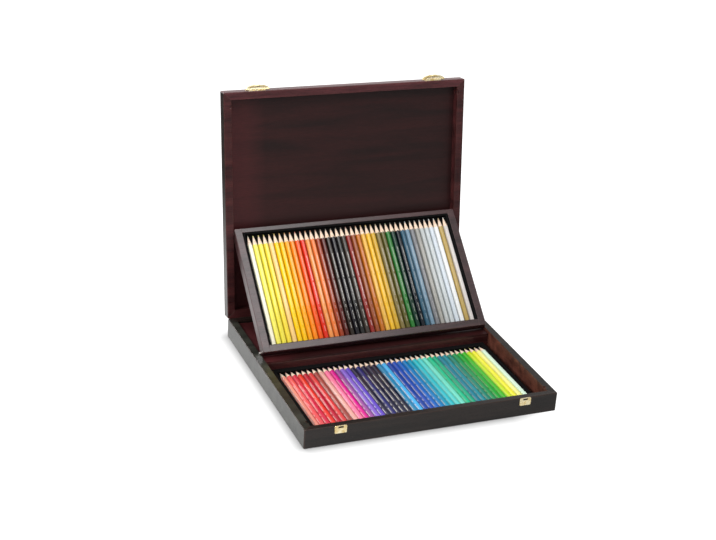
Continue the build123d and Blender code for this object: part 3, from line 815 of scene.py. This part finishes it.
class PencilCaseStudio(bpy.types.PropertyGroup):
    """The camera's place and the lamps."""

    azimuth: tilt("Azimuth", "Camera's turn round the case", -25.54)
    elevation: tilt("Elevation", "Camera's height above the horizon", 27.14)
    roll: tilt("Roll", "Camera's tilt about its own axis", 4.89)
    distance: length("Distance", "From the camera to its target", 2225)
    target: spot("Target", "Point on the camera's axis", 37.7, 0.0, 42.4)
    lens: FloatProperty(
        name="Lens", description="Focal length on a 36 mm sensor", default=76.53, unit="CAMERA"
    )
    shift_x: FloatProperty(name="Shift x", description="Sideways shift", default=-0.0761)
    shift_y: FloatProperty(name="Shift y", description="Upward shift", default=0.1027)
    overhead_power: wattage("Overhead power", "Soft lamp above the case", 12.0)
    key_power: wattage("Key power", "Soft lamp on the left", 18.0)
    edge_power: wattage("Edge power", "Soft lamp behind the case on the left", 20.0)
    fill_strength: FloatProperty(
        name="Fill", description="White room's light", default=0.52, subtype="FACTOR"
    )


class CASE_OT_wood(bpy.types.Operator):
    """Stains the walls, rails and panels, with the grain along each board"""

    bl_idname = "pencil_case.wood"
    bl_label = "Stained wood"

    def execute(self, context):
        finish = context.scene.pencil_case_finish
        sizes = context.scene.pencil_case_sizes
        rim_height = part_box("base_right_wall")[1].z - 0.1 * MM
        above_all = 1.0
        base = (finish.base_dark, finish.base_light)
        # Each stain has its dark and light bands, its shine and any outside stain.
        brown = (*base, 0.4)
        # The left wall's outer face and rim top take grey bands as a painted reflection of the pale
        # floor and room.
        rim_painted_reflection = (*brown, (finish.rim_reflection_dark, finish.rim_reflection_light, rim_height))
        # The right wall's inner face takes lighter, redder bands as painted light from the left;
        # its outer face and top keep the base stain.
        right_wall_painted_light = (finish.lit_wall_dark, finish.lit_wall_light, 0.3, (*base, rim_height))
        red = (finish.lid_dark, finish.lid_light, 0.5)
        red_inside = (*red, (*base, above_all))
        bright_red = (finish.rail_dark, finish.rail_light, 0.5)
        tray_red = (finish.tray_dark, finish.tray_light, 0.7)
        up_lid = (0.0, sizes.lid_lean, radians(-90))
        up_tray = (0.0, sizes.tray_tilt, radians(-90))
        boards = (
            (("base_front_wall", "base_back_wall"), "base, grain across", ACROSS, brown),
            (("base_left_wall",), "base, grain front to back", FRONT_TO_BACK, rim_painted_reflection),
            (("base_right_wall",), "base, right wall with painted light", FRONT_TO_BACK, right_wall_painted_light),
            (("lid_rear_rail", "riser_board"), "lid, grain across", ACROSS, red),
            (("lid_front_rail",), "lid front rail", ACROSS, bright_red),
            (("lid_left_rail", "lid_right_rail"), "lid, grain up", up_lid, red_inside),
            (("tray_upper_rail", "tray_lower_rail"), "tray, grain across", ACROSS, tray_red),
            (("tray_left_rail", "tray_right_rail"), "tray, grain up", up_tray, tray_red),
        )
        for names, board, turn, stain in boards:
            give_material(names, stained_wood(f"stained mahogany, {board}", turn, *stain))
        give_material(PLYWOOD, stained_plywood("stained plywood"))
        return {"FINISHED"}


class CASE_OT_inserts(bpy.types.Operator):
    """Gives the two grooved inserts their matt black plastic"""

    bl_idname = "pencil_case.inserts"
    bl_label = "Black inserts"

    def execute(self, context):
        give_material(INSERTS, black_insert_plastic("vacuum-formed black polystyrene"))
        return {"FINISHED"}


class CASE_OT_brass(bpy.types.Operator):
    """Polishes the hinges, the latch plates, the catch plates and the tray's pins"""

    bl_idname = "pencil_case.brass"
    bl_label = "Brass fittings"

    def execute(self, context):
        finish = context.scene.pencil_case_finish
        brass = polished_metal("polished brass", finish.brass_deep, finish.brass_bright)
        nickel = polished_metal("polished nickel", finish.nickel_deep, finish.nickel_bright)
        give_material(BRASS, brass)
        give_material(NICKEL, nickel)
        return {"FINISHED"}


class CASE_OT_latch_bows(bpy.types.Operator):
    """Hangs a flat arched bow on each latch plate"""

    bl_idname = "pencil_case.latch_bows"
    bl_label = "Latch bows"

    def execute(self, context):
        sizes = context.scene.pencil_case_sizes
        finish = context.scene.pencil_case_finish
        brass = polished_metal("polished brass, latch bows", finish.brass_deep, finish.brass_bright)
        bow = together([
            arch_surface(sizes), barrel_surface(sizes, 1), barrel_surface(sizes, -1),
            tongue_surface(sizes),
        ])
        for side, name in ((-1, "left"), (1, "right")):
            axis = Vector((side * sizes.latch_across, *sizes.latch_axis))
            place = lid_plane(sizes) @ Matrix.Translation(axis)
            fitting(
                f"bow_{name}", bow, place, brass, f"latch_{name}", f"latch_bow_{name}"
            )
        return {"FINISHED"}


class CASE_OT_screws(bpy.types.Operator):
    """Drives slotted screws into the hinge leaves and the latch plates"""

    bl_idname = "pencil_case.screws"
    bl_label = "Slotted screws"

    def execute(self, context):
        sizes = context.scene.pencil_case_sizes
        finish = context.scene.pencil_case_finish
        brass = polished_metal("polished brass, screws", finish.brass_deep, finish.brass_bright)
        single, faces = together([screw_head_surface(sizes), shank_surface()])
        base_row, lid_row, plate_row = (
            Matrix.Translation((0.0, *offset))
            for offset in (
                (-sizes.leaf_middle, -sizes.leaf_below),
                (sizes.leaf_middle, -sizes.leaf_below),
                sizes.plate_screws,
            )
        )
        lid = lid_plane(sizes)
        base = Matrix.Translation(Vector(sizes.hinge_line))
        into_edge = Matrix.Rotation(radians(-90), 4, "X")
        hinges, plates = (
            [side * middle + step * spread for side in (-1, 1) for step in (-1, 1)]
            for middle, spread in (
                (sizes.hinge_across, sizes.hinge_screw_spread),
                (sizes.latch_across, sizes.latch_screw_spread),
            )
        )
        rows = (
            ("base_hinge", "base", base @ base_row, Matrix(), hinges),
            ("lid_hinge", "lid", lid @ lid_row, Matrix(), hinges),
            ("latch_plate", "lid", lid @ plate_row, into_edge, plates),
        )
        for name, body, row, turn, across in rows:
            screws = []
            for index, x in enumerate(across):
                # Each screw stopped turning where it came tight.
                stop = Matrix.Rotation(radians(25 + 71 * index), 4, "Z")
                place = row @ Matrix.Translation((x, 0.0, 0.0)) @ turn @ stop
                screws.append((carried(single, place), faces))
            fitting(
                f"{name}_slotted", together(screws), Matrix(), brass, body,
                f"{name}_screws",
            )
        return {"FINISHED"}


class CASE_OT_lower_pencils(bpy.types.Operator):
    """Lays the forty pencils of the lower row, from reds to greens"""

    bl_idname = "pencil_case.lower_pencils"
    bl_label = "Lower pencils"

    def execute(self, context):
        # The lower row's left flats get a painted sheen.
        left_flat, painted_sheen = radians(150), 0.06
        materials = pencil_finishes("lower row", left_flat, painted_sheen, FRONT_TO_BACK)
        place = Matrix.Translation(Vector(context.scene.pencil_case_sizes.lower_tip))
        lay_row("lower", LOWER_PALETTE, LOWER_FOIL, place, "base", materials)
        return {"FINISHED"}


class CASE_OT_upper_pencils(bpy.types.Operator):
    """Lays the forty pencils of the tray, from yellows to silver"""

    bl_idname = "pencil_case.upper_pencils"
    bl_label = "Upper pencils"

    def execute(self, context):
        sizes = context.scene.pencil_case_sizes
        # The tray's pencils get no painted sheen.
        top_flat, painted_sheen = radians(90), 0.0
        up_tray = (0.0, sizes.tray_tilt, radians(-90))
        materials = pencil_finishes("tray", top_flat, painted_sheen, up_tray)
        place = (
            Matrix.Translation(Vector(sizes.tray_pivot))
            @ Matrix.Rotation(sizes.tray_tilt, 4, "X")
            @ Matrix.Translation(Vector(sizes.upper_tip))
        )
        lay_row("upper", UPPER_PALETTE, UPPER_FOIL, place, "tray", materials)
        return {"FINISHED"}


def soft_lamp(name, place, aim, size, power):
    """A square area lamp that faces a point."""
    data = bpy.data.lights.new(name, "AREA")
    data.shape = "SQUARE"
    data.size = size
    data.energy = power
    lamp = bpy.data.objects.new(name, data)
    lamp.location = place
    lamp.rotation_euler = (Vector(aim) - Vector(place)).to_track_quat("-Z", "Y").to_euler()
    bpy.context.scene.collection.objects.link(lamp)


def white_room(strength):
    """A plain pale room: white to the camera, white walls and a dimmer ceiling in gloss, and an
    even soft light on the object."""
    world = bpy.data.worlds.new("White room")
    world.use_nodes = True
    tree = world.node_tree
    tree.nodes.clear()
    path = add_node(tree, "LightPath").outputs
    camera_ray, glossy_ray = path["Is Camera Ray"], path["Is Glossy Ray"]
    way = add_node(tree, "TexCoord").outputs["Generated"]
    height = add_node(tree, "VectorMath", {0: way, 1: (0.0, 0.0, 1.0)}, operation="DOT_PRODUCT")
    walls = add_node(
        tree, "MapRange",
        {"Value": height, "From Min": 0.15, "From Max": 0.42, "To Min": 1.0, "To Max": 0.25},
    )
    in_gloss = add_node(tree, "Math", {0: glossy_ray, 1: walls}, operation="MULTIPLY")
    shown = add_node(tree, "Math", {0: camera_ray, 1: in_gloss}, operation="MAXIMUM")
    level = add_node(tree, "Math", {0: shown, 1: strength}, operation="MAXIMUM")
    light = add_node(tree, "Background", {"Strength": level, "Color": linear("#FFFFFF")})
    add_node(tree, "OutputWorld", {"Surface": light})
    return world


def white_table(name):
    """A matt white table top. To the camera it runs out to plain white a few centimetres from the
    case, and on its right at once, so that only the shadow close to its left and front walls shows.
    In gloss it carries a painted reflection: a glow near the case, strongest in a painted pool of
    light on the left behind it, and a dark diffuse colour further off, as a table that ends in a
    dim studio."""
    finish = bpy.context.scene.pencil_case_finish
    material, tree = new_material(name)
    path = add_node(tree, "LightPath").outputs
    camera_ray, glossy_ray = path["Is Camera Ray"], path["Is Glossy Ray"]
    place = add_node(tree, "TexCoord").outputs["Object"]
    # How far a place lies outside the base, whose plan is a rectangle round the origin.
    plan = tuple(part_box("base_bottom_panel")[1])
    either_side = add_node(tree, "VectorMath", {0: place}, operation="ABSOLUTE")
    beyond_walls = add_node(
        tree, "VectorMath", {0: either_side, 1: (plan[0], plan[1], 0.0)}, operation="SUBTRACT"
    )
    outside = add_node(
        tree, "VectorMath", {0: beyond_walls, 1: (0.0, 0.0, 0.0)}, operation="MAXIMUM"
    )
    away = add_node(tree, "VectorMath", {0: outside}, operation="LENGTH")
    close = add_node(
        tree, "MapRange", {"Value": away, "From Max": 31 * MM, "To Min": 1.0, "To Max": 0.0}
    )
    rightness = add_node(
        tree, "VectorMath", {0: place, 1: (1.0, 0.0, 0.0)}, operation="DOT_PRODUCT"
    )
    shaded_side = add_node(
        tree, "MapRange",
        {"Value": rightness, "From Min": 0.12, "From Max": plan[0], "To Min": 1.0, "To Max": 0.0},
    )
    shaded = add_node(tree, "Math", {0: close, 1: shaded_side}, operation="MULTIPLY")
    lift = add_node(tree, "MapRange", {"Value": shaded, "To Min": 0.95, "To Max": 0.0})
    distance = add_node(tree, "VectorMath", {0: place}, operation="LENGTH")
    glossy_near = add_node(
        tree, "MapRange",
        {"Value": distance, "From Min": 0.45, "From Max": 0.85, "To Min": 1.0, "To Max": 0.0},
    )
    # A painted pool of light: the table's glow in gloss is strongest on the left behind the case.
    from_painted_light_pool = add_node(tree, "VectorMath", {0: place, 1: (-0.4, 0.2, 0.0)}, operation="DISTANCE")
    lit = add_node(
        tree, "MapRange",
        {"Value": from_painted_light_pool, "From Min": 0.25, "From Max": 0.6, "To Min": 0.7, "To Max": 0.25},
    )
    seen = add_node(tree, "Math", {0: camera_ray, 1: lift}, operation="MULTIPLY")
    mirrored = add_node(tree, "Math", {0: glossy_ray, 1: glossy_near}, operation="MULTIPLY")
    strength = add_node(tree, "Math", {0: mirrored, 1: lit, 2: seen}, operation="MULTIPLY_ADD")
    glow = add_node(tree, "Emission", {"Strength": strength, "Color": linear("#FFFFFF")})
    paper = add_node(
        tree, "Mix", {0: camera_ray, 6: linear(finish.table_white), 7: linear(finish.table_seen)},
        data_type="RGBA",
    )
    matt = add_node(tree, "BsdfDiffuse", {"Color": paper})
    # Painted dark reflection: far off, gloss sees this dark colour in place of the table.
    dark = add_node(tree, "BsdfDiffuse", {"Color": linear(finish.table_far)})
    beyond = add_node(tree, "Math", {0: glossy_ray, 1: mirrored}, operation="SUBTRACT")
    top = add_node(tree, "MixShader", {0: beyond, 1: matt, 2: dark})
    both = add_node(tree, "AddShader", {0: top, 1: glow})
    add_node(tree, "OutputMaterial", {"Surface": both})
    return material


class CASE_OT_studio(bpy.types.Operator):
    """Sets the table, the lamps and the camera"""

    bl_idname = "pencil_case.studio"
    bl_label = "Studio"

    def execute(self, context):
        scene = context.scene
        studio = scene.pencil_case_studio
        half = 8.0
        mesh = bpy.data.meshes.new("Table")
        corners = [(-half, -half, 0), (half, -half, 0), (half, half, 0), (-half, half, 0)]
        mesh.from_pydata(corners, [], [(0, 1, 2, 3)])
        mesh.materials.append(white_table("matt white table"))
        table = bpy.data.objects.new("Table", mesh)
        table.location.z = cad_box[0].z - 0.05 * MM
        scene.collection.objects.link(table)
        case_middle, case_left = (0.0, 0.0, 0.1), (-0.1, 0.0, 0.0)
        soft_lamp("Overhead", (0.1, -0.4, 1.6), case_middle, 0.9, studio.overhead_power)
        soft_lamp("Key", (-1.5, -0.3, 0.9), case_middle, 0.8, studio.key_power)
        soft_lamp("Edge", (-0.9, 1.5, 0.9), case_left, 0.6, studio.edge_power)
        scene.world = white_room(studio.fill_strength)
        back = Vector((
            np.sin(studio.azimuth) * np.cos(studio.elevation),
            -np.cos(studio.azimuth) * np.cos(studio.elevation),
            np.sin(studio.elevation),
        ))
        across = Vector((0.0, 0.0, 1.0)).cross(back).normalized()
        level = Matrix((across, back.cross(across), back)).transposed().to_4x4()
        place = Matrix.Translation(Vector(studio.target) + back * studio.distance)
        data = bpy.data.cameras.new("Camera")
        data.lens = studio.lens
        data.shift_x = studio.shift_x
        data.shift_y = studio.shift_y
        data.clip_start = 0.05
        data.clip_end = 50.0
        camera = bpy.data.objects.new("Camera", data)
        camera.matrix_world = place @ (level @ Matrix.Rotation(studio.roll, 4, "Z"))
        scene.collection.objects.link(camera)
        scene.camera = camera
        scene.view_settings.view_transform = "Standard"
        return {"FINISHED"}


class CASE_PT_panel(bpy.types.Panel):
    """The pencil case's pieces, sizes and finishes"""

    bl_idname = "CASE_PT_panel"
    bl_label = "Pencil case"
    bl_space_type = "VIEW_3D"
    bl_region_type = "UI"
    bl_category = "Pencil case"

    def draw(self, context):
        for operator in OPERATORS:
            self.layout.operator(operator.bl_idname)
        for group_name in GROUPS:
            group = getattr(context.scene, group_name)
            for name in group.bl_rna.properties.keys():
                if name not in ("rna_type", "name"):
                    self.layout.prop(group, name)


OPERATORS = (
    CASE_OT_wood,
    CASE_OT_inserts,
    CASE_OT_brass,
    CASE_OT_latch_bows,
    CASE_OT_screws,
    CASE_OT_lower_pencils,
    CASE_OT_upper_pencils,
    CASE_OT_studio,
)
GROUPS = {
    "pencil_case_sizes": PencilCaseSizes,
    "pencil_case_finish": PencilCaseFinish,
    "pencil_case_studio": PencilCaseStudio,
}
CLASSES = (*GROUPS.values(), *OPERATORS, CASE_PT_panel)


def register():
    """Registers the classes and hangs the three groups of properties on the scene."""
    for each in CLASSES:
        bpy.utils.register_class(each)
    for name, group in GROUPS.items():
        setattr(bpy.types.Scene, name, PointerProperty(type=group))


def unregister():
    """Takes the groups and classes away again."""
    for name in GROUPS:
        delattr(bpy.types.Scene, name)
    for each in reversed(CLASSES):
        bpy.utils.unregister_class(each)


def main():
    """Registers the classes, then builds every piece."""
    register()
    bpy.ops.pencil_case.wood()
    bpy.ops.pencil_case.inserts()
    bpy.ops.pencil_case.brass()
    bpy.ops.pencil_case.latch_bows()
    bpy.ops.pencil_case.screws()
    bpy.ops.pencil_case.lower_pencils()
    bpy.ops.pencil_case.upper_pencils()
    bpy.ops.pencil_case.studio()


if __name__ == "__main__":
    main()
